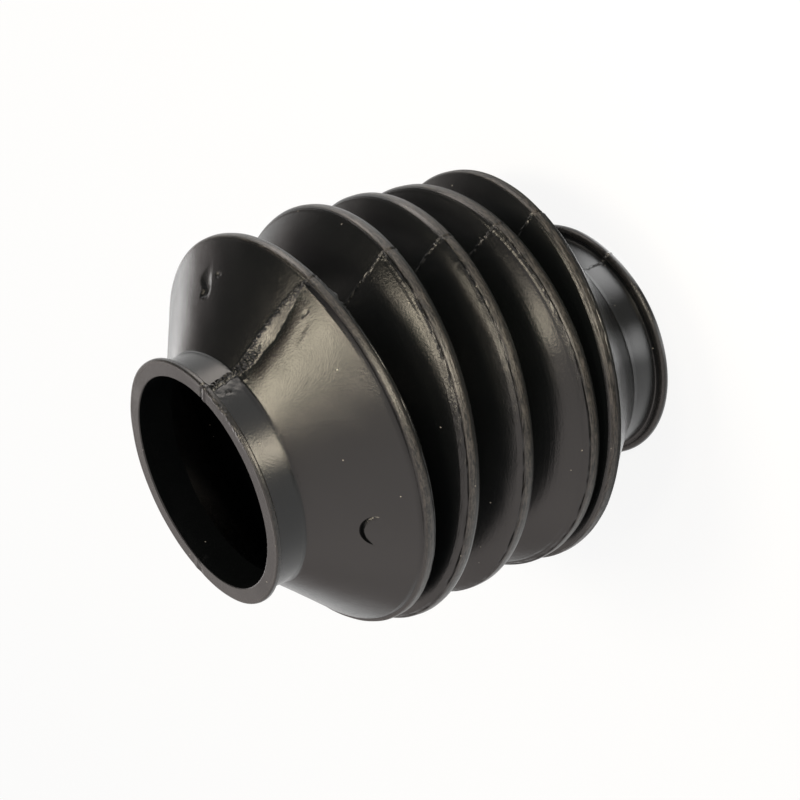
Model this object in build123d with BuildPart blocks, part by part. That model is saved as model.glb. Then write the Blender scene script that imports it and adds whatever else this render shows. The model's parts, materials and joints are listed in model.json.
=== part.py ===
from build123d import *
from collections import namedtuple
from math import cos, radians, sin, tan
import os

# Rubber bellows boot: one moulding with a clip cuff at each end and five folds between.
# It stands on its rear cuff. The middle of the rear lip's face is the origin, both cuffs
# run along Z, and the two mould halves meet in planes parallel to XZ.

length = 107.5                # rear lip face to front lip face
bore = 50.0                   # both cuffs grip the same shaft

# front cuff
front_cuff = 8.6              # lip face to the foot of the front cone
front_wall = 2.4
front_lip_reach = 1.4         # lip beyond the neck
front_lip_edge = 1.3          # lip thickness
front_lip_flare = 0.5         # slope from the neck up to the lip

# rear cuff
rear_cuff = 9.6
rear_wall = 2.8
rear_lip_reach = 2.4
rear_lip_edge = 1.4
rear_lip_flare = 1.8

lip_round = 0.4
neck_round = 2.5              # hollow corner where a neck meets its cone

# folds
fold_wall = 2.0
root_radius = 35.0            # bottom of the grooves between the folds
crest_band = 0.3              # half the width of the flat along a crest
crest_round = 2.0
end_crest_round = 1.4         # the crests that carry the cones are sharper
inner_root_band = 0.4
inner_root_round = 1.8
rim_wrap = 70.0               # degrees that a rim's rounding turns before the wall starts

# Round mark that a mould pin leaves on the front cone. Its floor is flat: deepest on the
# side of the neck, and level with the cone on the side of the crest.
pin_mark_radius = 4.4
pin_mark_depth = 1.0
pin_mark_turn = -76.0         # degrees round from +X
pin_mark_share = 0.59         # of the way from the cone's foot to its crest

# The soft folds have settled: each has slipped sideways by some millimetres, and its
# plane leans a few degrees towards +X and +Y. From rear to front, measured at the crest.
Fold = namedtuple("Fold", "height crest slip_x slip_y lean_x lean_y")
folds = [
    Fold(26.0, 48.1, -0.7, 4.6, 3.0, 7.6),
    Fold(36.9, 47.5, -0.1, 5.6, 3.6, 0.6),
    Fold(52.3, 47.8, 1.0, 7.1, 4.9, 5.7),
    Fold(67.6, 48.6, 1.8, 8.3, 5.4, 5.7),
    Fold(81.8, 47.4, 2.6, 9.5, -0.9, -1.8),
]
front_slip_x = 1.6
front_slip_y = 8.1

# A rim is a ring of the skin that keeps its own round section. Its rounding swells out,
# or sinks in where it is negative, and without one the rim is a plain circle.
Rim = namedtuple("Rim", "plane radius band rounding")


def fold_plane(fold):
    nose_x = tan(radians(fold.lean_x))
    nose_y = tan(radians(fold.lean_y))
    centre = (fold.slip_x, fold.slip_y, fold.height)
    return Plane(centre, x_dir=(1, 0, -nose_x), z_dir=(nose_x, nose_y, 1))


def root_plane(below, above):
    """A groove's bottom lies half way between its two crests."""
    return fold_plane(Fold(*[(low + high) / 2 for low, high in zip(below, above)]))


def rim_point(rim, wrap):
    """Radius, and distance from the rim's plane, once the rounding has turned by wrap."""
    turn = radians(wrap)
    radius = rim.radius - rim.rounding * (1 - cos(turn))
    if rim.rounding:
        return radius, rim.band + abs(rim.rounding) * sin(turn)
    return radius, 0


def bellows_solid(rims):
    """Rims revolved about their own leaning axes, joined by straight ruled walls."""
    with BuildPart() as solid:
        for rim in rims:
            if rim.rounding:
                middle_radius, middle = rim_point(rim, rim_wrap / 2)
                edge_radius, edge = rim_point(rim, rim_wrap)
                plane = rim.plane
                with BuildSketch(Plane(plane.origin, plane.x_dir, -plane.y_dir)):
                    with BuildLine():
                        Polyline((edge_radius, -edge), (0, -edge), (0, edge), (edge_radius, edge))
                        ThreePointArc(
                            (edge_radius, edge), (middle_radius, middle), (rim.radius, rim.band)
                        )
                        Line((rim.radius, rim.band), (rim.radius, -rim.band))
                        ThreePointArc(
                            (rim.radius, -rim.band), (middle_radius, -middle), (edge_radius, -edge)
                        )
                    make_face()
                revolve(axis=Axis(plane.origin, plane.z_dir))
        for below, above in zip(rims, rims[1:]):
            below_radius, below_edge = rim_point(below, rim_wrap)
            above_radius, above_edge = rim_point(above, rim_wrap)
            with BuildSketch(below.plane.offset(below_edge)):
                Circle(below_radius)
            with BuildSketch(above.plane.offset(-above_edge)):
                Circle(above_radius)
            loft(ruled=True)
    return solid.part


def cuff_solid(face, neck, height, reach, edge, flare):
    """Cuff turned about the normal of its lip face, which points into the boot."""
    with BuildPart() as solid:
        with BuildSketch(Plane(face.origin, face.x_dir, -face.y_dir)):
            with BuildLine():
                Polyline(
                    (0, 0),
                    (neck + reach, 0),
                    (neck + reach, edge),
                    (neck, edge + flare),
                    (neck, height),
                    (0, height),
                    close=True,
                )
            make_face()
            lip_corners = vertices().group_by(Axis.X)[-1]
            fillet(lip_corners, lip_round)
        revolve(axis=Axis(face.origin, face.z_dir))
    return solid.part


rear_neck = bore / 2 + rear_wall
front_neck = bore / 2 + front_wall
rear_face = Plane.XY
front_face = Plane((front_slip_x, front_slip_y, length), x_dir=(1, 0, 0), z_dir=(0, 0, -1))
rear_foot = Plane.XY.offset(rear_cuff)
front_foot = Plane((front_slip_x, front_slip_y, length - front_cuff))

# outer skin and hollow, as rims from rear to front
outer_rims = [Rim(rear_foot, rear_neck, 0, 0)]
inner_rims = [Rim(rear_foot, bore / 2, 0, 0)]
for number, fold in enumerate(folds):
    if number > 0:
        root = root_plane(folds[number - 1], fold)
        inner_root = Rim(root, root_radius - fold_wall, inner_root_band, -inner_root_round)
        outer_rims.append(Rim(root, root_radius, 0, 0))
        inner_rims.append(inner_root)
    at_end = fold in (folds[0], folds[-1])
    rounding = end_crest_round if at_end else crest_round
    outer_rims.append(Rim(fold_plane(fold), fold.crest, crest_band, rounding))
    inner_rims.append(Rim(fold_plane(fold), fold.crest - fold_wall, 0, 0))
outer_rims.append(Rim(front_foot, front_neck, 0, 0))
inner_rims.append(Rim(front_foot, bore / 2, 0, 0))

# the straight line down the front cone that runs through the pin mark's middle
mark_turn = radians(pin_mark_turn)
crest_radius, crest_edge = rim_point(outer_rims[-2], rim_wrap)
crest_plane = outer_rims[-2].plane.offset(crest_edge)
towards_mark = Vector(cos(mark_turn), sin(mark_turn))
round_mark = Vector(-sin(mark_turn), cos(mark_turn))
line_top = front_foot.from_local_coords(towards_mark * front_neck)
line_end = crest_plane.from_local_coords(towards_mark * crest_radius)
down_cone = (line_end - line_top).normalized()
off_cone = down_cone.cross(round_mark).normalized()
mark_middle = line_top + (line_end - line_top) * pin_mark_share
floor_middle = mark_middle - off_cone * (pin_mark_depth / 2)
floor_slope = pin_mark_depth / (2 * pin_mark_radius)
mark_floor = Plane(floor_middle, z_dir=off_cone - down_cone * floor_slope)

with BuildPart() as boot:
    add(bellows_solid(outer_rims))
    add(cuff_solid(rear_face, rear_neck, rear_cuff, rear_lip_reach, rear_lip_edge, rear_lip_flare))
    add(
        cuff_solid(
            front_face, front_neck, front_cuff, front_lip_reach, front_lip_edge, front_lip_flare
        )
    )

    # hollow corners between necks and cones
    circles = boot.edges().filter_by(GeomType.CIRCLE)
    for foot in (rear_foot, front_foot):
        corner = circles.filter_by(lambda edge: (edge.arc_center - foot.origin).length < 0.01)
        fillet(corner, neck_round)

    add(bellows_solid(inner_rims), mode=Mode.SUBTRACT)
    with Locations(Plane.XY):
        Cylinder(
            bore / 2,
            rear_cuff,
            align=(Align.CENTER, Align.CENTER, Align.MIN),
            mode=Mode.SUBTRACT,
        )
    with Locations(front_face):
        Cylinder(
            bore / 2,
            front_cuff,
            align=(Align.CENTER, Align.CENTER, Align.MIN),
            mode=Mode.SUBTRACT,
        )

    with BuildSketch(mark_floor):
        Circle(pin_mark_radius)
    extrude(amount=2 * pin_mark_depth, mode=Mode.SUBTRACT)

boot.part.label = "bellows_boot"
os.makedirs("parts", exist_ok=True)
export_step(boot.part, "parts/bellows_boot.step")
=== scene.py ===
import json
from collections import namedtuple
from math import pi

import bmesh
import bpy
import numpy as np
from mathutils import Matrix, Vector


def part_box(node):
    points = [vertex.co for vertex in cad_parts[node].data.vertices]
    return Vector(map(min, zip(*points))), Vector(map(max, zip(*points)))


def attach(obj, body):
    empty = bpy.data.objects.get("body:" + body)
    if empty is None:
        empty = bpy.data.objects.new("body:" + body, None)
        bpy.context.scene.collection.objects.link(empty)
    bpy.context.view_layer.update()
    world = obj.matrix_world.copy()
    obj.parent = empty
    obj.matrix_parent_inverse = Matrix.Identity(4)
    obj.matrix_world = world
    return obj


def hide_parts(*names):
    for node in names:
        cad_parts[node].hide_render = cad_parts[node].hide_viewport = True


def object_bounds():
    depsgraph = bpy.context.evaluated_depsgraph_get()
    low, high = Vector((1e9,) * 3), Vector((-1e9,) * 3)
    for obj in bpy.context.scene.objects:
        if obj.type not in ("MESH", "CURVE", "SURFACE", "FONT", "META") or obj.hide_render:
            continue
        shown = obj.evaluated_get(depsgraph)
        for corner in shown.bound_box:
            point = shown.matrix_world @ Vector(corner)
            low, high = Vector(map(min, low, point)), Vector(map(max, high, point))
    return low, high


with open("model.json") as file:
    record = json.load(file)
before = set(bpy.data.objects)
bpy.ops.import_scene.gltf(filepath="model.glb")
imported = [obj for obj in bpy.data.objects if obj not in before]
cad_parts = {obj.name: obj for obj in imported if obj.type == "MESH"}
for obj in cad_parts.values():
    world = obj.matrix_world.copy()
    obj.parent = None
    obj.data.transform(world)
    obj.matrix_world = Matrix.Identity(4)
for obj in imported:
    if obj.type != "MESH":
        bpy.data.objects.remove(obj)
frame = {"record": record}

cad_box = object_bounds()
MM = 0.001

# ---------------------------------------------------------------- driving sizes, in mm
mounts = {mount["name"]: mount for mount in frame["record"]["mounts"]}
front_bore = mounts["front_cuff_bore"]
bore_radius = front_bore["dims"]["r_mm"]
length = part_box("bellows_boot")[1][2] / MM
front_slip = (front_bore["pos_m"][0] / MM, front_bore["pos_m"][1] / MM)

front_cuff = 8.6
front_neck = bore_radius + 2.4
front_lip = front_neck + 1.4
rear_cuff = 9.6
rear_neck = bore_radius + 2.8
rear_lip = rear_neck + 2.4
front_lip_edge, front_lip_flare = 1.3, 0.5
rear_lip_edge, rear_lip_flare = 2.2, 0.4
lip_round = 0.4
bore_edge_round = 0.25
neck_blend = 1.15             # how far the hollow corner reaches along the neck and the cone
neck_draft = 0.5              # the front neck is this much smaller at the lip

fold_wall = 2.0
root_radius = 35.0
inner_root_round = 1.8
crest_band = 0.3
rim_wrap = 70.0               # degrees that a crest's rounding turns, each way

Fold = namedtuple("Fold", "height crest rounding slip_x slip_y lean_x lean_y bulge")
folds = [                     # front to rear; bulge is how far the front wall bellies out
    Fold(81.8, 47.4, 1.4, 2.6, 9.5, -0.9, -1.8, 0.0),
    Fold(67.6, 48.6, 2.0, 1.8, 8.3, 5.4, 5.7, 0.3),
    Fold(52.3, 47.8, 2.0, 1.0, 7.1, 4.9, 5.7, 0.4),
    Fold(36.9, 47.5, 2.0, -0.1, 5.6, 3.6, 0.6, 0.9),
    Fold(26.0, 48.1, 1.4, -0.7, 4.6, 3.0, 7.6, 0.2),
]

# ---------------------------------------------------------------- sizes of the marks
# in mm, and in degrees round from +X; a tuple along the folds runs from front to rear
rim_loops = 11
rim_lines = ((3.1,), (1.45,), (1.47,), (1.5,), (0.9, 1.7, 2.5))   # from the rim's front edge
line_loops = (-0.33, -0.18, -0.08, 0.0, 0.08, 0.18, 0.33)
line_depths = (0.2, 0.36, 0.36, 0.34, 0.2)
line_reach = 0.26
chamfer_depths = (0.0, 0.13, 0.13, 0.13, 0.0)   # flattens the rim in front of its line
chamfer_crumbs = 0.05
crease_depths = (0.24, 0.0, 0.0, 0.0, 0.0)
crease_reach = 0.7
ridge_heights = (0.16, 0.0, 0.0, 0.0, 0.24)
ridge_place, ridge_reach = 0.5, 0.45            # from the rim's rear edge
fringe_turn, fringe_reach, fringe_height = -8.5, 7.5, 0.35

flash_height, flash_reach = 0.36, 0.42
neck_flash, neck_flash_reach = 0.55, 0.9
rear_flash, rear_flash_reach = 0.22, 0.5
rim_gap, rim_gap_reach = 0.25, 0.45
nib_height, nib_reach = 0.35, 0.6
lip_gap, lip_gap_reach = 0.35, 0.4
rear_seam_turn = -3.0
lip_seam_turn = 4.8
neck_seam_turns = ((0.0, 1.5, 5.0, 8.0), (6.6, 6.8, 5.4, 4.5))   # by the way up from the cone

# down the scar: shares of the cone from its foot to its rim, and the size at each
scar_turns = ((0.0, 0.25, 0.45, 0.64, 0.87, 1.0), (6.6, 4.7, 3.9, 2.9, 1.3, 0.4))
scar_widths = (
    (0.0, 0.13, 0.29, 0.44, 0.6, 0.77, 0.93, 1.0),
    (2.0, 3.1, 2.9, 3.35, 2.7, 1.8, 0.6, 0.4),
)
scar_starts = ((0.56, 0.66, 0.78, 0.93, 1.0), (0.0, 0.7, 1.0, 0.35, 0.2))
scar_rises = ((0.0, 0.3, 0.55, 0.75, 1.0), (0.15, 0.45, 0.45, 0.12, 0.05))
scar_hollows = ((0.0, 0.2, 0.6, 0.85, 1.0), (0.1, 0.34, 0.34, 0.15, 0.05))
scar_hollow_reach = 4.5
scar_crumbs = 0.46
patch_height = 0.3            # of the torn patch near the cuff
foot_line_depth, foot_line_reach = 0.14, 0.85

pin_mark_radius = 3.95
pin_mark_depth = 0.9          # of the crescent round its edge
pin_mark_width = 1.15         # of the crescent
pin_mark_floor = 0.2
pin_mark_turn = -75.5
pin_mark_share = 0.615        # of the cone, from its foot
pin_mark_tilt = 15.0          # the deepest point lies this far round from the neck's side
pin_mark_pull = 0.45          # points this near the edge are drawn to it
pin_edge_bands = (2.2, 1.0, 0.5)

peel_turn, peel_reach, peel_height = -14.0, 20.0, 0.3
dent_place = (30.7, 34.7, 90.7)
dent_finer = 6.5              # the skin is finer this far round it
Gouge = namedtuple("Gouge", "place heading length steep gentle depth")
gouges = [
    Gouge(dent_place, (-0.02, 0.92, -0.40), 8.4, 0.9, 4.2, 0.6),
    Gouge((45.1, 5.1, 86.8), (0.45, 0.1, -1.0), 2.4, 1.0, 0.5, 0.15),
    Gouge((42.2, 3.6, 88.2), (0.9, 0.5, -1.0), 8.0, 1.8, 1.8, 0.07),
]
Dint = namedtuple("Dint", "place reach depth")
dints = [                     # a blister where depth is negative
    Dint((29.7, 33.8, 91.7), 1.6, 0.5),
    Dint((29.2, 33.2, 92.1), 0.75, -0.5),
    Dint((35.4, 32.4, 89.2), 0.9, 0.5),
    Dint((29.0, 7.2, 102.9), 0.9, 0.3),
]


# ---------------------------------------------------------------- the skin's stations
# A station is one closed loop of the skin. Its points are centre + cos * across + sin * deep,
# so two stations of different lean join in straight lines, as the mould's walls do.
Ring = namedtuple("Ring", "centre x y nose")
Station = namedtuple("Station", "centre across deep zone share")


def unit(vector):
    vector = np.array(vector, float)
    return vector / np.linalg.norm(vector)


def leaning_ring(height, slip_x, slip_y, lean_x=0.0, lean_y=0.0):
    tan_x, tan_y = np.tan(np.radians((lean_x, lean_y)))
    x = unit((1, 0, -tan_x))
    nose = unit((tan_x, tan_y, 1))
    return Ring(np.array((slip_x, slip_y, height)), x, np.cross(nose, x), nose)


def fold_ring(fold):
    return leaning_ring(fold.height, fold.slip_x, fold.slip_y, fold.lean_x, fold.lean_y)


front_ring = leaning_ring(length, *front_slip)
rear_ring = leaning_ring(0.0, 0.0, 0.0)
crest_rings = [fold_ring(fold) for fold in folds]
root_rings = [                # half way between the crests on each side
    fold_ring(Fold(*[(a + b) / 2 for a, b in zip(ahead, behind)]))
    for ahead, behind in zip(folds, folds[1:])
]


def on_ring(ring, radius, offset, zone, share):
    """Loop of that radius, offset along the ring's nose."""
    return Station(
        ring.centre + ring.nose * offset, ring.x * radius, ring.y * radius, zone, share
    )


def between(a, b, share, zone, bulge=0.0):
    """Loop of a straight wall from a to b, bellied outwards in the middle by bulge."""
    centre = a.centre + (b.centre - a.centre) * share
    across = a.across + (b.across - a.across) * share
    deep = a.deep + (b.deep - a.deep) * share
    if bulge:
        axis = unit(np.cross(across, deep))
        drop = np.dot(a.centre - b.centre, axis)
        run = np.linalg.norm(a.across) - np.linalg.norm(b.across)
        normal = unit((abs(drop), -run * np.sign(drop)))
        swell = 4 * share * (1 - share) * bulge
        across = across + unit(across) * normal[0] * swell
        deep = deep + unit(deep) * normal[0] * swell
        centre = centre + axis * normal[1] * swell
    return Station(centre, across, deep, zone, share)


def wall(a, b, count, zone, bulge=0.0, crowd=1.0):
    """Loops between a and b, without its ends, crowded towards a where crowd is over 1."""
    shares = (np.arange(count) + 1) / (count + 1)
    return [between(a, b, share**crowd, zone, bulge) for share in shares]


def bend(a, corner, b, count, zone):
    """Loops that round the corner between two walls, from a to b."""
    loops = []
    for share in np.linspace(0, 1, count):
        low = between(a, corner, share, zone)
        high = between(corner, b, share, zone)
        loops.append(between(low, high, share, zone)._replace(share=share))
    return loops


def rim(ring, fold, lines, zone):
    """The rounded crest of a fold, from its front edge to its rear edge, with loops crowded
    round each fine line, given in mm from the front edge."""
    per_mm = 1 / (2 * (np.radians(rim_wrap) * fold.rounding + crest_band))
    clear = 1.3 * line_loops[-1] * per_mm
    shares = np.linspace(0, 1, rim_loops)
    for line in lines:
        near = (line + np.array(line_loops)) * per_mm
        kept = shares[abs(shares - line * per_mm) > clear]
        shares = np.sort(np.concatenate((kept, near)))
    loops = []
    for share in shares:
        wrap = np.radians((1 - 2 * share) * rim_wrap)
        radius = fold.crest - fold.rounding * (1 - np.cos(wrap))
        offset = np.sign(wrap) * crest_band + fold.rounding * np.sin(wrap)
        loops.append(on_ring(ring, radius, offset, zone, share))
    return loops


def corner(ring, middle, radius, start, end, count, zone):
    """Round edge of a cuff's lip, about middle = (radius, depth), in degrees from outwards."""
    loops = []
    for share in np.linspace(0, 1, count):
        turn = np.radians(start + (end - start) * share)
        out = middle[0] + radius * np.cos(turn)
        loops.append(on_ring(ring, out, middle[1] + radius * np.sin(turn), zone, share))
    return loops


def front_stations():
    """From the front bore's edge over the lip and down the neck and the cone to its rim."""
    edge = bore_edge_round
    loops = corner(front_ring, (bore_radius + edge, -edge), edge, 180, 90, 3, "lip")
    inner = front_lip - lip_round
    loops += wall(loops[-1], on_ring(front_ring, inner, 0, "lip", 0), 3, "front_face")
    loops += corner(front_ring, (inner, -lip_round), lip_round, 90, 0, 4, "front_lip")
    lower_round = (inner, -front_lip_edge + lip_round)
    loops += corner(front_ring, lower_round, lip_round, 0, -70, 4, "front_lip")
    flare_end = -front_lip_edge - front_lip_flare
    flare_foot = on_ring(front_ring, front_neck - neck_draft, flare_end, "front_neck", 0)
    loops.append(flare_foot)
    neck_end = on_ring(front_ring, front_neck, -front_cuff + neck_blend, "front_neck", 1)
    loops += wall(flare_foot, neck_end, 9, "front_neck")

    foot = on_ring(front_ring, front_neck, -front_cuff, "front_foot", 0)
    first_rim = rim(crest_rings[0], folds[0], rim_lines[0], "rim_0")
    drop = length - front_cuff - folds[0].height
    slant = np.linalg.norm((folds[0].crest - front_neck, drop))
    cone_start = between(foot, first_rim[0], neck_blend / slant, "front_cone")
    loops += bend(neck_end, foot, cone_start, 7, "front_foot")
    loops += wall(cone_start, first_rim[0], 54, "front_cone")
    return loops + first_rim


def fold_stations(last):
    """The walls, roots and crests behind the first rim, whose last loop is given."""
    loops = []
    for number in range(1, len(folds)):
        fold = folds[number]
        root = on_ring(root_rings[number - 1], root_radius, 0, "root", 0)
        loops += wall(last, root, 6, f"behind_{number - 1}", crowd=1.4)
        loops.append(root)
        crest = rim(crest_rings[number], fold, rim_lines[number], f"rim_{number}")
        loops += wall(crest[0], root, 12, f"before_{number}", fold.bulge, crowd=1.25)[::-1]
        loops += crest
        last = crest[-1]
    return loops


def rear_stations(last):
    """The rear cone, the neck and the round bead of the lip, as far as the rear bore's edge."""
    foot = on_ring(rear_ring, rear_neck, rear_cuff, "rear_foot", 0)
    slant = np.linalg.norm((folds[-1].crest - rear_neck, folds[-1].height - rear_cuff))
    cone_end = between(foot, last, neck_blend / slant, "rear_cone")
    neck_start = on_ring(rear_ring, rear_neck, rear_cuff - neck_blend, "rear_neck", 0)
    flare_start = rear_lip_edge + rear_lip_flare
    flare_foot = on_ring(rear_ring, rear_neck, flare_start, "rear_neck", 1)
    flare_corner = on_ring(rear_ring, rear_neck, rear_lip_edge, "rear_neck", 1)
    loops = wall(last, cone_end, 12, "rear_cone")
    loops += bend(cone_end, foot, neck_start, 5, "rear_foot")
    loops += wall(neck_start, flare_foot, 6, "rear_neck")

    bead = rear_lip_edge / 2
    bead_middle = (rear_lip - bead, bead)
    upper_bead = corner(rear_ring, bead_middle, bead, 90, 0, 7, "rear_lip")
    loops += bend(flare_foot, flare_corner, upper_bead[0], 6, "rear_neck")[:-1]
    loops += upper_bead
    loops += corner(rear_ring, bead_middle, bead, 0, -90, 6, "rear_lip")[1:]
    loops += wall(loops[-1], on_ring(rear_ring, bore_radius, 0, "lip", 0), 2, "rear_face")
    edge = bore_edge_round
    return loops + corner(rear_ring, (bore_radius + edge, edge), edge, 270, 180, 3, "lip")


def hollow_stations(rear_edge, front_edge):
    """From the rear bore's edge through the bore and the hollow to the front bore's edge."""
    bore_end = on_ring(rear_ring, bore_radius, rear_cuff, "hollow", 0)
    loops = wall(rear_edge, bore_end, 1, "bore")
    loops.append(bore_end)
    lowest = root_radius - fold_wall
    for number in reversed(range(len(folds))):
        crest_radius = folds[number].crest - fold_wall
        crest = on_ring(crest_rings[number], crest_radius, 0, "hollow", 0)
        loops += wall(loops[-1], crest, 2, "hollow")
        loops.append(crest)
        if number > 0:
            root_bend = []
            for wrap in np.radians(np.linspace(-rim_wrap, rim_wrap, 5)):
                radius = lowest + inner_root_round * (1 - np.cos(wrap))
                offset = inner_root_round * np.sin(wrap)
                root_bend.append(on_ring(root_rings[number - 1], radius, offset, "hollow", 0))
            loops += wall(crest, root_bend[0], 1, "hollow")
            loops += root_bend
    bore_start = on_ring(front_ring, bore_radius, -front_cuff, "bore", 0)
    loops += wall(loops[-1], bore_start, 3, "hollow")
    loops.append(bore_start)
    return loops + wall(bore_start, front_edge, 3, "bore")


def skin_stations():
    """The whole section: over the outside from front to rear, and back through the hollow."""
    loops = front_stations()
    loops += fold_stations(loops[-1])
    loops += rear_stations(loops[-1])
    return loops + hollow_stations(loops[-1], loops[0])


# ---------------------------------------------------------------- small helpers
def add_node(tree, kind, **given):
    """A node. What is given in small letters is its settings. The rest are its inputs, by name
    or as _0, _1 by number: a value, an output, or a node whose first output feeds the input."""
    node = tree.nodes.new(kind)
    for name, value in given.items():
        if name.islower():
            setattr(node, name, value)
            continue
        socket = node.inputs[int(name[1:]) if name[1:].isdigit() else name.replace("_", " ")]
        if isinstance(value, bpy.types.Node):
            value = value.outputs[0]
        if isinstance(value, bpy.types.NodeSocket):
            tree.links.new(value, socket)
        else:
            socket.default_value = value
    return node


def linear(colour):
    """Linear colour of an sRGB hex value such as "#2a2826"."""
    values = np.array([int(colour[i:i + 2], 16) / 255 for i in (1, 3, 5)])
    low = values / 12.92
    high = ((values + 0.055) / 1.055) ** 2.4
    return (*np.where(values <= 0.04045, low, high), 1.0)


# ---------------------------------------------------------------- the skin
columns = 224
gather = 0.65                 # crowds the columns towards the parting line at +X
weld = 0.001                  # points nearer than this many mm are one


def station_mesh(loops):
    """One point for each station, carrying its two radius vectors."""
    mesh = bpy.data.meshes.new("boot_stations")
    mesh.from_pydata([tuple(loop.centre * MM) for loop in loops], [], [])
    for name in ("across", "deep"):
        store(mesh, name, np.array([getattr(loop, name) for loop in loops]) * MM)
    return mesh


def store(mesh, name, values):
    """Keeps a value or a vector of each point, for a tree or a material."""
    kind, key = ("FLOAT", "value") if values.ndim == 1 else ("FLOAT_VECTOR", "vector")
    layer = mesh.attributes.new(name, kind, "POINT")
    layer.data.foreach_set(key, values.astype(np.float32).ravel())


def skin_tree(material):
    """Sweeps a closed skin round through every station point of the mesh it is given."""
    tree = bpy.data.node_groups.new("boot_skin", "GeometryNodeTree")
    for name, kind in (("Geometry", "Geometry"), ("Columns", "Int"), ("Gather", "Float")):
        tree.interface.new_socket(name, in_out="INPUT", socket_type=f"NodeSocket{kind}")
    tree.interface.new_socket("Geometry", in_out="OUTPUT", socket_type="NodeSocketGeometry")
    given = add_node(tree, "NodeGroupInput").outputs
    stations = given["Geometry"]

    # a grid with a row for each station and one more of each, so that it closes on itself
    whole = "FunctionNodeIntegerMath"
    size = add_node(
        tree, "GeometryNodeAttributeDomainSize", component="MESH", Geometry=stations
    )
    row_count = size.outputs["Point Count"]
    down = add_node(tree, whole, operation="ADD", _0=row_count, _1=1)
    round_count = add_node(tree, whole, operation="ADD", _0=given["Columns"], _1=1)
    grid = add_node(tree, "GeometryNodeMeshGrid", Vertices_X=down, Vertices_Y=round_count)
    index = add_node(tree, "GeometryNodeInputIndex")
    quotient = add_node(tree, whole, operation="DIVIDE_FLOOR", _0=index, _1=round_count)
    rest = add_node(tree, whole, operation="MODULO", _0=index, _1=round_count)
    row = add_node(tree, whole, operation="MODULO", _0=quotient, _1=row_count)
    column = add_node(tree, whole, operation="MODULO", _0=rest, _1=given["Columns"])

    # the turn of each column, crowded towards the parting line
    maths = "ShaderNodeMath"
    share = add_node(tree, maths, operation="DIVIDE", _0=column, _1=given["Columns"])
    even = add_node(tree, maths, operation="MULTIPLY", _0=share, _1=2 * pi)
    sine = add_node(tree, maths, operation="SINE", _0=even)
    shift = add_node(tree, maths, operation="MULTIPLY", _0=sine, _1=given["Gather"])
    turn = add_node(tree, maths, operation="SUBTRACT", _0=even, _1=shift)
    wrapped = add_node(tree, maths, operation="WRAP", _0=turn, _1=pi, _2=-pi)

    # centre + cosine * across + sine * deep
    vector = "FLOAT_VECTOR"
    fields = [add_node(tree, "GeometryNodeInputPosition")]
    for name in ("across", "deep"):
        fields.append(
            add_node(tree, "GeometryNodeInputNamedAttribute", data_type=vector, Name=name)
        )
    sampled = []
    for field in fields:
        sampled.append(
            add_node(
                tree,
                "GeometryNodeSampleIndex",
                data_type=vector,
                Geometry=stations,
                Value=field,
                Index=row,
            )
        )
    parts = []
    for radius, operation in zip(sampled[1:], ("COSINE", "SINE")):
        amount = add_node(tree, maths, operation=operation, _0=turn)
        parts.append(
            add_node(tree, "ShaderNodeVectorMath", operation="SCALE", _0=radius, Scale=amount)
        )
    out = add_node(tree, "ShaderNodeVectorMath", operation="ADD", _0=parts[0], _1=parts[1])
    point = add_node(tree, "ShaderNodeVectorMath", operation="ADD", _0=sampled[0], _1=out)
    result = add_node(tree, "GeometryNodeSetPosition", Geometry=grid, Position=point)

    for name, field in (("row", row), ("turn", wrapped)):
        result = add_node(
            tree,
            "GeometryNodeStoreNamedAttribute",
            data_type="FLOAT",
            domain="POINT",
            Geometry=result,
            Name=name,
            Value=field,
        )
    closed = add_node(
        tree, "GeometryNodeMergeByDistance", Geometry=result, Distance=weld * MM
    )
    realized = add_node(tree, "GeometryNodeRealizeInstances", Geometry=closed)
    dressed = add_node(tree, "GeometryNodeSetMaterial", Geometry=realized, Material=material)
    add_node(tree, "NodeGroupOutput", Geometry=dressed)
    return tree


def grow(name, mesh, tree, values):
    """Object whose mesh is what the tree makes of the given one."""
    piece = bpy.data.objects.new(name, mesh)
    bpy.context.scene.collection.objects.link(piece)
    modifier = piece.modifiers.new("grow", "NODES")
    modifier.node_group = tree
    for socket in tree.interface.items_tree:
        if socket.in_out == "INPUT" and socket.name in values:
            modifier[socket.identifier] = values[socket.name]
    graph = bpy.context.evaluated_depsgraph_get()
    grown = bpy.data.meshes.new_from_object(
        piece.evaluated_get(graph), preserve_all_data_layers=True, depsgraph=graph
    )
    piece.modifiers.clear()
    piece.data = grown
    grown.name = name
    return piece


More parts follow.
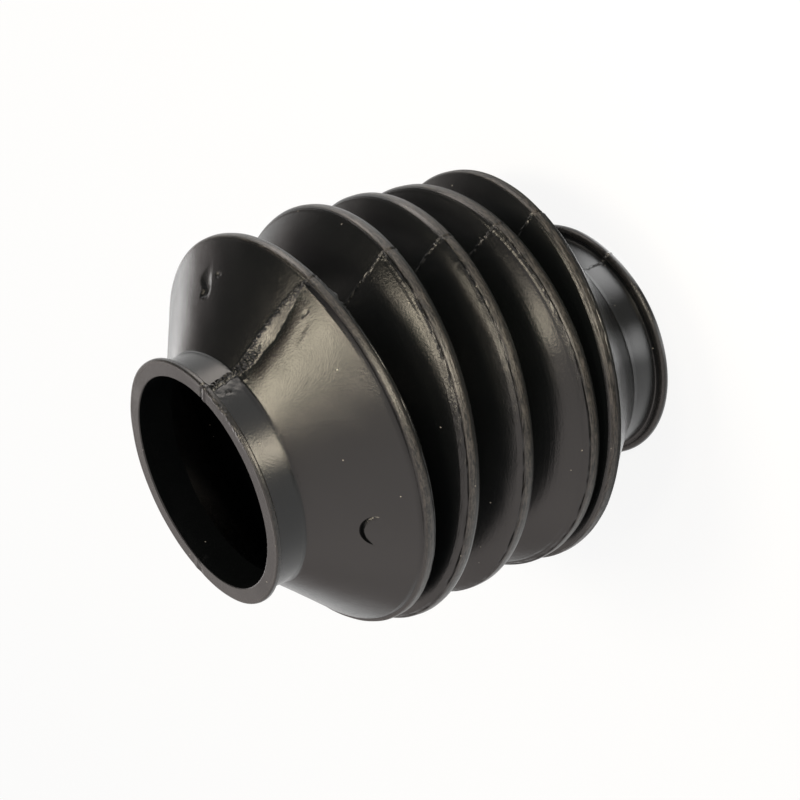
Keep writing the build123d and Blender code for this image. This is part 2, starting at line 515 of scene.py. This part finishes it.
# ---------------------------------------------------------------- marks of the mould and of use
class Skin:
    """The skin's points in mm, and where on the section and round the boot each one lies."""

    def __init__(self, mesh, loops):
        count = len(mesh.vertices)
        self.row = read(mesh.attributes["row"].data, "value", count)
        self.turn = np.degrees(read(mesh.attributes["turn"].data, "value", count))
        self.points = read(mesh.vertices, "co", count, 3) / MM
        self.normals = read(mesh.vertices, "normal", count, 3)
        self.zone = np.array([loop.zone for loop in loops])[np.rint(self.row).astype(int)]
        rows = np.arange(len(loops))
        self.share = np.interp(self.row, rows, [loop.share for loop in loops])
        radii = [np.linalg.norm(loop.across) for loop in loops]
        self.radius = np.interp(self.row, rows, radii)
        at_seam = np.array([loop.centre + loop.across for loop in loops])
        steps = np.linalg.norm(np.diff(at_seam, axis=0), axis=1)
        self.along = np.interp(self.row, rows, np.concatenate(([0], np.cumsum(steps))))
        self.lift = np.zeros(count)

    def on(self, *zones):
        return np.isin(self.zone, zones)

    def walls(self):
        return np.char.startswith(self.zone, "before") | np.char.startswith(self.zone, "behind")

    def rims(self):
        return np.char.startswith(self.zone, "rim_")

    def rim(self, number):
        """The points on that rim, and how far every point lies past its front edge and before
        its rear edge."""
        on_rim = self.on(f"rim_{number}")
        along = self.along[on_rim]
        return on_rim, self.along - along.min(), along.max() - self.along

    def round_from(self, turn):
        """Millimetres round the boot from that turn, in degrees."""
        return np.radians((self.turn - turn + 180) % 360 - 180) * self.radius

    def from_seam(self, side=0.0):
        return self.round_from(seam_turn(self) + side)

    def beside_scar(self):
        """Each point's share of the cone, its way round past the scar's torn edge, and the
        scar's width there."""
        share = np.where(self.on("front_cone"), self.share, 0)
        return share, -self.from_seam(), np.interp(share, *scar_widths)

    def raise_by(self, where, lift):
        self.lift[where] += lift[where]


def read(data, name, count, width=1):
    values = np.zeros(count * width, np.float32)
    data.foreach_get(name, values)
    return values if width == 1 else values.reshape(-1, width)


def hill(distance, reach):
    """1 in the middle, and smoothly down to 0 at reach."""
    return np.clip(1 - (distance / reach) ** 2, 0, 1) ** 2


def wobble(position, spacing, seed):
    """Smooth noise between -1 and 1 along a line."""
    values = np.random.default_rng(seed).uniform(-1, 1, 2048)
    steps = position / spacing + 1024
    low = np.floor(steps).astype(int)
    part = steps - low
    part = part * part * (3 - 2 * part)
    return values[low % 2048] * (1 - part) + values[(low + 1) % 2048] * part


def unevenness(points, spacing, seed):
    """Gentle waves about spacing apart, in all directions, between about -1 and 1."""
    random = np.random.default_rng(seed)
    total = np.zeros(len(points))
    for _ in range(9):
        direction = unit(random.normal(size=3)) * 2 * pi / (spacing * random.uniform(0.7, 1.6))
        total += np.sin(points @ direction + random.uniform(0, 2 * pi))
    return total / 4.5


def seam_turn(skin):
    """Where the parting line runs. The front cuff is twisted, so it wanders on the cone."""
    turns = np.zeros(len(skin.turn))
    cone = skin.on("front_cone")
    turns[cone] = np.interp(skin.share[cone], *scar_turns)
    neck = skin.on("front_neck", "front_foot")
    neck_end = skin.along[neck].max()
    turns[neck] = np.interp(neck_end - skin.along[neck], *neck_seam_turns)
    turns[skin.on("front_lip", "front_face", "lip")] = lip_seam_turn
    turns[skin.on("rear_neck", "rear_foot", "rear_lip")] = rear_seam_turn
    return turns


def refine(mesh, loops, chosen):
    """Halves the edges between the points that chosen picks, and so their faces."""
    near = chosen(Skin(mesh, loops))
    fine = bmesh.new()
    fine.from_mesh(mesh)
    edges = [edge for edge in fine.edges if all(near[vert.index] for vert in edge.verts)]
    bmesh.ops.subdivide_edges(fine, edges=edges, cuts=1, use_grid_fill=True)
    fine.to_mesh(mesh)
    fine.free()


def near_seam(skin):
    across = skin.from_seam()
    front = skin.on("front_cone", "front_foot", "front_neck", "front_lip", "front_face")
    front &= (across > -8) & (across < 1.5)
    folds_near = (skin.walls() | skin.rims()) & (abs(across) < 1.2)
    rear = skin.on("rear_neck", "rear_lip", "rear_foot") & (abs(across) < 3)
    return front | folds_near | rear


def near_scar_edge(skin):
    across = skin.from_seam()
    scar = skin.on("front_cone", "front_foot") & (across > -1.6) & (across < 1.0)
    torn = skin.on("front_cone") & (skin.share < 0.32) & (across > -4.0) & (across < 1.0)
    return scar | torn | (skin.on("front_neck") & (abs(across + 0.4) < 1.6))


def pin_edge(reach):
    """Picks the points that lie this near the edge of the pin mark."""

    def chosen(skin):
        u, v = pin_mark_place(skin)
        return skin.on("front_cone") & (abs(np.hypot(u, v) - pin_mark_radius) < reach)

    return chosen


def near_dents(skin):
    offset = np.linalg.norm(skin.points - np.array(dent_place), axis=1)
    return skin.on("front_cone") & (offset < dent_finer)


def crease_rims(skin):
    """The half of the mould on the -Y side leaves a broken line along each rim where its plates
    met and a crumbly flat in front of it, a crease where the front cone runs into its rim, and
    a ridge along the rear edge of the first rim and the last."""
    half = np.clip(-skin.turn / 1.2, 0, 1) * np.clip((180 + skin.turn) / 3, 0, 1)
    for number, lines in enumerate(rim_lines):
        front_wall = "front_cone" if number == 0 else f"before_{number}"
        on_rim, past, before_end = skin.rim(number)
        near = on_rim | skin.on(front_wall)
        uneven = 1 + 0.2 * wobble(skin.turn, 7.0, seed=80 + number)
        crease = crease_depths[number] * half * uneven
        skin.raise_by(near, 0.4 * crease * hill(past - crease_reach, crease_reach))
        skin.raise_by(near, -crease * hill(past, crease_reach))
        ridge = ridge_heights[number] * half * uneven
        skin.raise_by(on_rim, ridge * hill(before_end - ridge_place, ridge_reach))

        part_way = np.clip(past / lines[0], 0, 1)
        chamfer = 4 * part_way * (1 - part_way) * chamfer_depths[number] * half
        crumbs = chamfer_crumbs * half * wobble(skin.turn, 0.8, seed=85 + number)
        crumbs = crumbs * (chamfer_depths[number] > 0)
        flat = hill(past - 0.5 * lines[0], 0.7 * lines[0])
        skin.raise_by(near, -chamfer + crumbs * flat)
        for line in lines:
            seed = 90 + 10 * number + int(line)
            wander = 0.1 * wobble(skin.turn, 3.0, seed)
            wander = wander + 0.05 * wobble(skin.turn, 1.3, seed + 1)
            broken = np.clip(0.75 + 0.6 * wobble(skin.turn, 2.1, seed + 2), 0.1, 1)
            groove = hill(past - line + wander, line_reach)
            skin.raise_by(on_rim, -(line_depths[number] * half * broken * groove))


def part_halves(skin):
    """Flash along the line where the mould halves met, on the +X and -X sides. Each rim and
    lip has a small gap there, and each rim a nib behind the gap."""
    for side, strength, seed in ((0.0, 1.0, 11), (180.0, 0.6, 12)):
        across = skin.from_seam(side)
        ragged = across + 0.2 * wobble(skin.along, 0.7, seed)
        height = 0.55 + 0.45 * wobble(skin.along, 0.5, seed + 20)
        walls = skin.walls() | skin.on("rear_cone")
        skin.raise_by(walls, strength * flash_height * height * hill(ragged, flash_reach))
        crumbs = np.clip(0.35 + unevenness(skin.points, 0.8, seed + 40), 0, 1.3)
        neck = skin.on("front_neck", "front_foot")
        skin.raise_by(neck, strength * neck_flash * crumbs * hill(ragged - 0.1, neck_flash_reach))
        skin.raise_by(neck, -strength * 0.3 * hill(ragged + 0.95, 0.5))
        rear = skin.on("rear_neck", "rear_foot", "rear_lip")
        rear_height = strength * rear_flash * (0.4 + crumbs)
        skin.raise_by(rear, rear_height * hill(ragged, rear_flash_reach))
        rims = skin.rims()
        skin.raise_by(rims, -strength * rim_gap * hill(across, rim_gap_reach))
        rear_edge = hill(skin.share - 0.8, 0.2)
        nib = strength * nib_height * crumbs * rear_edge
        skin.raise_by(rims, nib * hill(across, nib_reach))
        lips = skin.on("front_lip", "front_face", "lip")
        skin.raise_by(lips, -strength * lip_gap * hill(ragged, lip_gap_reach))
        skin.raise_by(lips, strength * 0.15 * hill(across + 0.9, 0.8))


def tear_flash(skin):
    """Scar down the front cone where thick flash was torn off: a crumbled edge, a smooth slanted
    face beside it and a shallow hollow beyond."""
    share, past, end = skin.beside_scar()
    start = np.interp(share, *scar_starts)
    rise = np.interp(share, *scar_rises)
    hollow = np.interp(share, *scar_hollows)
    ragged = 0.3 * wobble(skin.along, 0.45, seed=31) + 0.15 * wobble(skin.along, 1.3, seed=32)
    down_face = np.clip((past - start) / (end - start), 0, 1)
    face = rise - (rise + hollow) * down_face
    beyond = -hollow * np.clip(1 - (past - end) / scar_hollow_reach, 0, 1) ** 2
    lift = np.where(past + ragged < start, 0, np.where(past < end, face, beyond))

    # crumbs of flash along the edge, and the torn patch near the cuff
    crumbs = np.clip(0.3 + unevenness(skin.points, 0.75, seed=33), 0, 1.2)
    lift += scar_crumbs * crumbs * hill(past + 0.6 * ragged, 0.6)
    torn = hill(past - 0.5 * end, 0.62 * end) * np.clip(1.25 - share / 0.28, 0, 1)
    rough = unevenness(skin.points, 1.1, seed=34) + 0.6 * unevenness(skin.points, 0.6, seed=36)
    lift += patch_height * torn * rough
    foot = skin.on("front_foot")
    fade = np.where(foot, skin.share**2, 1)
    skin.raise_by(foot | skin.on("front_cone"), lift * fade)

    # hollow line where the neck runs into the cone
    neck = foot | skin.on("front_neck")
    from_line = skin.along - skin.along[foot].mean()
    line = -foot_line_depth * hill(from_line, foot_line_reach)
    skin.raise_by(neck | skin.on("front_cone"), line)

    # the neck beside it is rumpled
    rumple = hill(past - 3.2, 3.6)
    skin.raise_by(neck, 0.05 * rumple * unevenness(skin.points, 1.9, seed=35))


def cut(skin, gouge):
    """Valley through a place along its heading, steep on its left side and gentle on its right,
    where it widens ahead."""
    offset = skin.points - np.array(gouge.place)
    ahead = unit(gouge.heading)
    from_axis = (gouge.place[0] - front_slip[0], gouge.place[1] - front_slip[1], 0)
    left = unit(np.cross(unit(from_axis), ahead))
    along, across = offset @ ahead, offset @ left
    widening = np.clip(0.6 + 0.8 * along / gouge.length, 0.2, 1)
    side = np.where(across > 0, across / gouge.steep, -across / (gouge.gentle * widening))
    profile = np.clip(1 - side, 0, 1)
    profile = profile * profile * (3 - 2 * profile)
    return -gouge.depth * profile * hill(along, gouge.length / 2)


def press(skin, dint):
    """Round pit or blister."""
    distance = np.linalg.norm(skin.points - np.array(dint.place), axis=1)
    return -dint.depth * hill(distance, dint.reach)


def knock(skin):
    """Dents, pits and blisters of the front cone and neck."""
    cone = skin.on("front_cone", "front_neck")
    marks = [cut(skin, gouge) for gouge in gouges] + [press(skin, dint) for dint in dints]
    skin.lift += sum(mark * cone for mark in marks)


def pin_mark_frame():
    """Middle of the pin mark on the cone, the way down the cone, and the way round it."""
    foot = on_ring(front_ring, front_neck, -front_cuff, "", 0)
    crest = rim(crest_rings[0], folds[0], (), "")[0]
    turn = np.radians(pin_mark_turn)
    top, end = [
        loop.centre + np.cos(turn) * loop.across + np.sin(turn) * loop.deep
        for loop in (foot, crest)
    ]
    down = unit(end - top)
    tangent = np.array((-np.sin(turn), np.cos(turn), 0))
    sideways = unit(tangent - down * (tangent @ down))
    return top + (end - top) * pin_mark_share, down, sideways


def pin_mark_place(skin):
    middle, down, sideways = pin_mark_frame()
    offset = skin.points - middle
    return offset @ down, offset @ sideways


def pin_mark(skin):
    """Round mark of a mould pin that pushed deepest on the neck's side, where it left a
    crescent. Points near its edge are drawn to it, which keeps it crisp."""
    _, down, sideways = pin_mark_frame()
    u, v = pin_mark_place(skin)
    distance = np.hypot(u, v)
    near = skin.on("front_cone") & (distance < 2 * pin_mark_radius) & (distance > 0.01)
    u, v, distance = u[near], v[near], distance[near]
    past = distance - pin_mark_radius
    drawn = past * (1 - 0.92 * np.exp(-(past / pin_mark_pull) ** 2))
    shift = (drawn - past) / distance
    skin.points[near] += np.outer(shift * u, down) + np.outer(shift * v, sideways)

    tilt = np.radians(pin_mark_tilt)
    deepest = (v * np.sin(tilt) - u * np.cos(tilt)) / distance
    crescent = np.clip((deepest - 0.1) / 0.9, 0.001, 1) ** 0.6
    moat = np.clip(1 + drawn / (pin_mark_width * crescent), 0, 1) * (past < 0)
    sunk = np.clip(-drawn / 0.3, 0, 1) * np.clip(deepest, 0, 1) * distance / pin_mark_radius
    skin.lift[near] -= pin_mark_depth * crescent * moat + pin_mark_floor * sunk


def peel_lip(skin):
    """Thin flash left standing along the front lip's outer edge, below the parting line."""
    lip = skin.on("front_lip")
    reach = hill(skin.turn - peel_turn, peel_reach)
    crumbs = np.clip(0.5 + unevenness(skin.points, 0.9, seed=52), 0, 1.4)
    edge = hill(skin.along - skin.along[lip].min() - 0.4, 0.9)
    skin.raise_by(lip, peel_height * reach * crumbs * edge)


def fringe_rim(skin):
    """Ragged flash behind the front rim, just past the parting line."""
    on_rim, _, before_end = skin.rim(0)
    teeth = np.clip(0.4 + wobble(skin.turn, 0.6, seed=61), 0, 1)
    teeth = teeth * hill(skin.turn - fringe_turn, fringe_reach)
    skin.raise_by(on_rim, fringe_height * teeth * hill(before_end - 0.5, 0.5))


def settle(skin):
    """Soft rubber is never quite true: its walls wave by a tenth of a millimetre or so."""
    outside = ~skin.on("hollow", "bore", "rear_face", "rear_lip")
    for height, spacing, seed in ((0.12, 34.0, 71), (0.03, 9.0, 72)):
        skin.raise_by(outside, height * unevenness(skin.points, spacing, seed))


def torn_share(skin):
    """1 on the face that was torn, which shines more than the moulded skin."""
    _, past, end = skin.beside_scar()
    scar = np.clip((past + 0.7) / 0.4, 0, 1) * np.clip((end + 0.1 - past) / 0.3, 0, 1)
    scar = scar * skin.on("front_cone", "front_foot")
    flash = hill(past, 1.1) * (skin.on("front_neck") | skin.walls())
    return np.clip(scar + flash, 0, 1)


def crumb_share(skin):
    """1 where the torn rubber is crumbled, as it is all along the edge of the flash, and a
    little less on the flats of the three middle rims."""
    share, past, end = skin.beside_scar()
    edge = hill(past - 0.1, 1.0) * skin.on("front_cone", "front_foot", "front_neck")
    patch = hill(past - 0.5 * end, 0.7 * end + 0.2) * np.clip(1.4 - share / 0.25, 0, 1)
    patch = patch * skin.on("front_cone", "front_foot")
    flats = np.zeros(len(past))
    for number in (1, 2, 3):
        on_rim, behind, _ = skin.rim(number)
        flats += on_rim * hill(behind - 0.75, 0.9) * (skin.turn < 0)
    return np.clip(edge + patch + 0.8 * flats, 0, 1)


def wear_share(skin):
    """1 along the middle of each rim, behind its line, and less on the lips, which rub first."""
    worn = np.zeros(len(skin.turn))
    for number, lines in enumerate(rim_lines):
        on_rim, past, _ = skin.rim(number)
        start = 0.4 if number in (0, 4) else lines[0]
        band = np.clip((past - start - 0.1) / 0.3, 0, 1)
        band = band * np.clip((start + 2.2 - past) / 0.5, 0, 1)
        worn += np.where(on_rim, band, 0)
    return worn + 0.35 * skin.on("front_lip") + 0.3 * skin.on("rear_lip")


def mark_skin(mesh, loops):
    """Makes the skin finer where small marks come, lifts its points by all the marks, and
    keeps what the rubber's material needs to know of each."""
    pin_edges = [pin_edge(reach) for reach in pin_edge_bands]
    for chosen in (near_seam, near_scar_edge, *pin_edges, near_dents):
        refine(mesh, loops, chosen)
    skin = Skin(mesh, loops)
    for mark in (
        crease_rims, part_halves, tear_flash, knock, pin_mark, peel_lip, fringe_rim, settle
    ):
        mark(skin)
    points = (skin.points + skin.normals * skin.lift[:, None]) * MM
    mesh.vertices.foreach_set("co", points.astype(np.float32).ravel())
    store(mesh, "torn", torn_share(skin))
    store(mesh, "crumb", crumb_share(skin))
    store(mesh, "wear", wear_share(skin))
    turn = np.radians(skin.turn)
    store(mesh, "lay", np.column_stack((skin.along, np.cos(turn), np.sin(turn))))
    mesh.update()


# ---------------------------------------------------------------- rubber
rubber_black, rubbed_grey, dust = "#0c0e0f", "#45413e", "#a09a90"
relief_depth = 0.05           # mm that the grain stands up by
tool_line = 0.3               # mm between the fine lines that the turned mould leaves
speck_cell = 5.0              # mm; each cell that the skin cuts near its middle has a speck
speck_core, speck_edge = 0.13, 0.18


def moulded_rubber():
    """Carbon-black rubber pressed in a steel mould: satin, almost black in the folds, with a
    warm grey shine that a fine grain from the mould breaks up."""
    material = bpy.data.materials.new("moulded_black_rubber")
    material.use_nodes = True
    tree = material.node_tree
    tree.nodes.clear()
    maths, remap, noise = "ShaderNodeMath", "ShaderNodeMapRange", "ShaderNodeTexNoise"
    place = add_node(tree, "ShaderNodeTexCoord").outputs["Object"]
    stored = {}
    for name in ("wear", "crumb", "torn", "lay"):
        stored[name] = add_node(tree, "ShaderNodeAttribute", attribute_name=name).outputs
    wear, crumb, torn = [stored[name]["Fac"] for name in ("wear", "crumb", "torn")]

    # lines from the turned mould, some 2 mm long; orange peel, grain and wear in soft lumps
    lay = add_node(
        tree,
        "ShaderNodeVectorMath",
        operation="MULTIPLY",
        _0=stored["lay"]["Vector"],
        _1=(1.0, 7.0, 7.0),
    )
    lines = add_node(tree, noise, Vector=lay, Scale=1 / tool_line, Detail=2.0, Roughness=0.6)
    lumps = {}
    for name, lump, detail in (
        ("mould_wear", 9.0, 3.0),
        ("orange_peel", 2.6, 1.0),
        ("grain", 0.4, 2.0),
        ("scuffs", 0.32, 1.0),
        ("crumbs", 0.42, 2.0),
    ):
        scale = 1 / (lump * MM)
        lumps[name] = add_node(
            tree, noise, Vector=place, Scale=scale, Detail=detail, Roughness=0.6
        )
    cells = add_node(tree, "ShaderNodeTexVoronoi", Vector=place, Scale=1 / (speck_cell * MM))
    speck = add_node(
        tree,
        remap,
        _0=cells.outputs["Distance"],
        _1=speck_edge / speck_cell,
        _2=speck_core / speck_cell,
        _3=0.0,
        _4=1.0,
    )

    # what stands up from the grain, how far by its side, and where
    scuffed = add_node(tree, maths, operation="ADD", _0=lines, _1=lumps["scuffs"])
    relief = lumps["grain"]
    for pattern, height, where in (
        (lumps["orange_peel"], 0.3, 1.0),
        (scuffed, 1.0, wear),
        (lumps["crumbs"], 1.6, crumb),
        (speck, 1.5, 1.0),
    ):
        here = add_node(tree, maths, operation="MULTIPLY", _0=where, _1=height)
        relief = add_node(
            tree, maths, operation="MULTIPLY_ADD", _0=pattern, _1=here, _2=relief
        )
    bump = add_node(
        tree, "ShaderNodeBump", Height=relief, Strength=1.0, Distance=relief_depth * MM
    )

    # rims and lips are rubbed grey in flecks along their length
    flecks = add_node(
        tree, maths, operation="MULTIPLY_ADD", _0=lumps["grain"], _1=0.8, _2=lines
    )
    pale = add_node(tree, remap, _0=flecks, _1=0.75, _2=1.1, _3=0.0, _4=1.0)
    rubbed = add_node(tree, maths, operation="MULTIPLY", _0=pale, _1=wear)
    colour = linear(rubber_black)
    for share, tint in ((rubbed, rubbed_grey), (speck, dust)):
        colour = add_node(
            tree, "ShaderNodeMix", data_type="RGBA", _0=share, _6=colour, _7=linear(tint)
        ).outputs[2]

    # the mould was rougher in patches, worn rubber is duller and torn rubber shines
    roughness = add_node(
        tree, remap, _0=lumps["mould_wear"], _1=0.35, _2=0.65, _3=0.23, _4=0.27
    )
    for share, change in ((wear, 0.1), (torn, -0.05)):
        roughness = add_node(
            tree, maths, operation="MULTIPLY_ADD", _0=share, _1=change, _2=roughness
        )
    body = add_node(
        tree,
        "ShaderNodeBsdfPrincipled",
        Base_Color=colour,
        Roughness=roughness,
        IOR=1.5,
        Normal=bump,
    )
    add_node(tree, "ShaderNodeOutputMaterial", Surface=body)
    return material


def bellows_skin():
    """The boot's one piece of rubber."""
    loops = skin_stations()
    inputs = {"Columns": columns, "Gather": gather}
    piece = grow("bellows_skin", station_mesh(loops), skin_tree(moulded_rubber()), inputs)
    mark_skin(piece.data, loops)
    return piece


boot = bellows_skin()

# ---------------------------------------------------------------- floor, lights, camera
white = (1, 1, 1, 1)
floor_half = 6.0              # metres
floor_glow = 0.88             # share of the floor that glows; the rest takes the boot's shadow


def pale_floor_painted_reflections():
    """Matt white paper, which looks plain white. To the gloss only, its glow is painted with
    reflections: a dark spot in front, a grey one beside it, painted shade under the folds, and
    round the rear cuff a painted bright ring with a dim spot and two small painted lights."""
    material = bpy.data.materials.new("white_paper_floor_painted_reflections")
    material.use_nodes = True
    tree = material.node_tree
    tree.nodes.clear()
    maths = "ShaderNodeMath"
    path = add_node(tree, "ShaderNodeLightPath").outputs
    place = add_node(tree, "ShaderNodeTexCoord").outputs["Object"]

    def round_spot(middle, inner, outer, inside, outside):
        """Brightness between two values, by the distance in mm from a place on the floor."""
        away = add_node(
            tree,
            "ShaderNodeVectorMath",
            operation="DISTANCE",
            _0=place,
            _1=(middle[0] * MM, middle[1] * MM, 0),
        ).outputs["Value"]
        edges = {"_1": inner * MM, "_2": outer * MM}
        return add_node(tree, "ShaderNodeMapRange", _0=away, **edges, _3=inside, _4=outside)

    # painted reflections, seen by glossy rays only: dark and grey spots and painted shade under
    # the folds
    painted_dark_reflection = round_spot((105, -70), 80, 140, 0.1, 1.0)
    painted_grey_reflection = round_spot((236, 65), 30, 60, 0.4, 1.0)
    painted_shade_under_folds = round_spot((0, 0), 60, 85, 0.25, 1.0)
    painted_glow_round_cuff = round_spot((0, 0), 37, 43, 1.3, 0.0)
    painted_dim_spot = round_spot((30, -17), 4, 9, 0.3, 1.0)
    painted_upper_glint = round_spot((34, -1), 3, 13, 4.5, 0.0)
    painted_lower_glint = round_spot((23, -28), 2, 8, 3.0, 0.0)
    painted_dim_reflections = add_node(tree, maths, operation="MULTIPLY", _0=painted_dark_reflection, _1=painted_grey_reflection)
    table = add_node(tree, maths, operation="MULTIPLY", _0=painted_dim_reflections, _1=painted_shade_under_folds)
    # painted bright ring round the rear cuff with a dim spot, and two small painted lights
    ring = add_node(tree, maths, operation="MULTIPLY", _0=painted_glow_round_cuff, _1=painted_dim_spot)
    table = add_node(tree, maths, operation="MAXIMUM", _0=table, _1=ring)
    lights = add_node(tree, maths, operation="ADD", _0=painted_upper_glint, _1=painted_lower_glint)
    table = add_node(tree, maths, operation="ADD", _0=table, _1=lights)

    # glossy rays see the painted reflections; the camera and transmission rays see plain white
    glossy = path["Is Glossy Ray"]
    darker = add_node(tree, maths, operation="SUBTRACT", _0=table, _1=1.0)
    change = add_node(tree, maths, operation="MULTIPLY", _0=glossy, _1=darker)
    strength = add_node(tree, maths, operation="ADD", _0=change, _1=1.0)
    seen = glossy
    for ray in ("Is Camera Ray", "Is Transmission Ray"):
        seen = add_node(tree, maths, operation="MAXIMUM", _0=seen, _1=path[ray])
    share = add_node(tree, maths, operation="MULTIPLY", _0=seen, _1=floor_glow)
    paper = add_node(tree, "ShaderNodeBsdfDiffuse", Color=linear("#f2f2f2"))
    glow = add_node(tree, "ShaderNodeEmission", Color=white, Strength=strength)
    mix = add_node(tree, "ShaderNodeMixShader", _0=share, _1=paper, _2=glow)
    add_node(tree, "ShaderNodeOutputMaterial", Surface=mix)
    return material


floor_mesh = bpy.data.meshes.new("floor")
floor_mesh.from_pydata(
    [(x, y, 0) for x, y in ((-1, -1), (1, -1), (1, 1), (-1, 1))], [], [(0, 1, 2, 3)]
)
floor_mesh.transform(Matrix.Diagonal((floor_half, floor_half, 1, 1)))
floor_mesh.materials.append(pale_floor_painted_reflections())
floor = bpy.data.objects.new("floor", floor_mesh)
bpy.context.scene.collection.objects.link(floor)

dark_side = (0.30, 0.77, 0.56)
table_side = (-0.30, -0.60, 0.74)
far_side = (-1.0, 0.02, -0.03)
room_light = 0.5              # what the room lends to matt surfaces


def studio_world():
    """White all round, apart from what the gloss shows: the dark side of the room, the lit
    table on the side that the rolled camera has below, and the dimmer far side."""
    world = bpy.data.worlds.new("studio")
    world.use_nodes = True
    tree = world.node_tree
    tree.nodes.clear()
    maths, backdrop, mixed = "ShaderNodeMath", "ShaderNodeBackground", "ShaderNodeMixShader"
    path = add_node(tree, "ShaderNodeLightPath").outputs
    facing = add_node(tree, "ShaderNodeTexCoord").outputs["Generated"]

    def towards(side, edge, middle, at_edge, at_middle):
        """Brightness between two values, by the cosine from that side's direction."""
        along = add_node(
            tree, "ShaderNodeVectorMath", operation="DOT_PRODUCT", _0=facing, _1=unit(side)
        ).outputs["Value"]
        return add_node(
            tree,
            "ShaderNodeMapRange",
            _0=along,
            _1=edge,
            _2=middle,
            _3=at_edge,
            _4=at_middle,
        )

    dark = towards(dark_side, 0.5, 0.87, 1.0, 0.09)
    table = towards(table_side, 0.7, 0.97, 0.0, 0.45)
    far = towards(far_side, 0.8, 1.0, 1.0, 0.5)
    near_sides = add_node(tree, maths, operation="ADD", _0=dark, _1=table)
    strength = add_node(tree, maths, operation="MULTIPLY", _0=near_sides, _1=far)
    room = add_node(tree, backdrop, Color=white, Strength=room_light)
    mirrored = add_node(tree, backdrop, Color=linear("#fff4ef"), Strength=strength)
    plain = add_node(tree, backdrop, Color=white, Strength=1.0)
    lit = add_node(tree, mixed, _0=path["Is Glossy Ray"], _1=room, _2=mirrored)
    seen = add_node(
        tree,
        maths,
        operation="MAXIMUM",
        _0=path["Is Camera Ray"],
        _1=path["Is Transmission Ray"],
    )
    mix = add_node(tree, mixed, _0=seen, _1=lit, _2=plain)
    add_node(tree, "ShaderNodeOutputWorld", Surface=mix)
    return world


bpy.context.scene.world = studio_world()
front_middle = Vector((*front_slip, length - front_cuff)) * MM
fold_middle = (cad_box[0] + cad_box[1]) / 2

# direction from what it lights, distance and size in metres, radiance and colour
Softbox = namedtuple("Softbox", "name lights direction distance size radiance colour")
softboxes = [
    Softbox("key_softbox", fold_middle, (0.29, 0.25, 0.92), 1.2, 0.38, 16.0, "#fff2d8"),
    Softbox("fold_softbox", fold_middle, (0.50, -0.14, 0.85), 1.2, 0.24, 18.0, "#fff2d8"),
    Softbox("right_softbox", front_middle, (0.80, -0.51, -0.25), 0.16, 0.056, 13.0, "#fff2d8"),
    Softbox("seam_softbox", front_middle, (0.68, 0.66, -0.32), 0.16, 0.07, 3.6, "#fff4ea"),
    Softbox("back_softbox", fold_middle, (-0.66, 0.75, -0.06), 1.0, 0.48, 2.0, "#ffffff"),
]
for box in softboxes:
    lamp = bpy.data.lights.new(box.name, "AREA")
    lamp.shape = "SQUARE"
    lamp.size = box.size
    lamp.energy = box.radiance * pi * box.size**2    # a square lamp's power for its radiance
    lamp.color = linear(box.colour)[:3]
    holder = bpy.data.objects.new(box.name, lamp)
    direction = Vector(box.direction).normalized()
    holder.location = box.lights + direction * box.distance
    holder.rotation_mode = "QUATERNION"
    holder.rotation_quaternion = direction.to_track_quat("Z", "Y")
    holder.visible_camera = False
    bpy.context.scene.collection.objects.link(holder)

# the camera looks down on the boot and is rolled, so that the boot seems to lie on its side
camera_place = Vector((268.0068, -174.2036, 243.9191))    # mm
camera_azimuth, camera_elevation, camera_roll = np.radians((-34.0, 30.615688, -115.335515))
camera = bpy.data.objects.new("camera", bpy.data.cameras.new("camera"))
camera.data.lens = 72.0
camera.data.sensor_width = 36.0
camera.data.clip_start = 0.01
camera.data.clip_end = 20.0
camera.matrix_world = (
    Matrix.Translation(camera_place * MM)
    @ Matrix.Rotation(camera_azimuth + pi / 2, 4, "Z")
    @ Matrix.Rotation(pi / 2 - camera_elevation, 4, "X")
    @ Matrix.Rotation(camera_roll, 4, "Z")
)
bpy.context.scene.collection.objects.link(camera)
bpy.context.scene.camera = camera
bpy.context.scene.view_settings.view_transform = "Standard"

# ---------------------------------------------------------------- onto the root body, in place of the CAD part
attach(boot, "root")
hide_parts("bellows_boot")
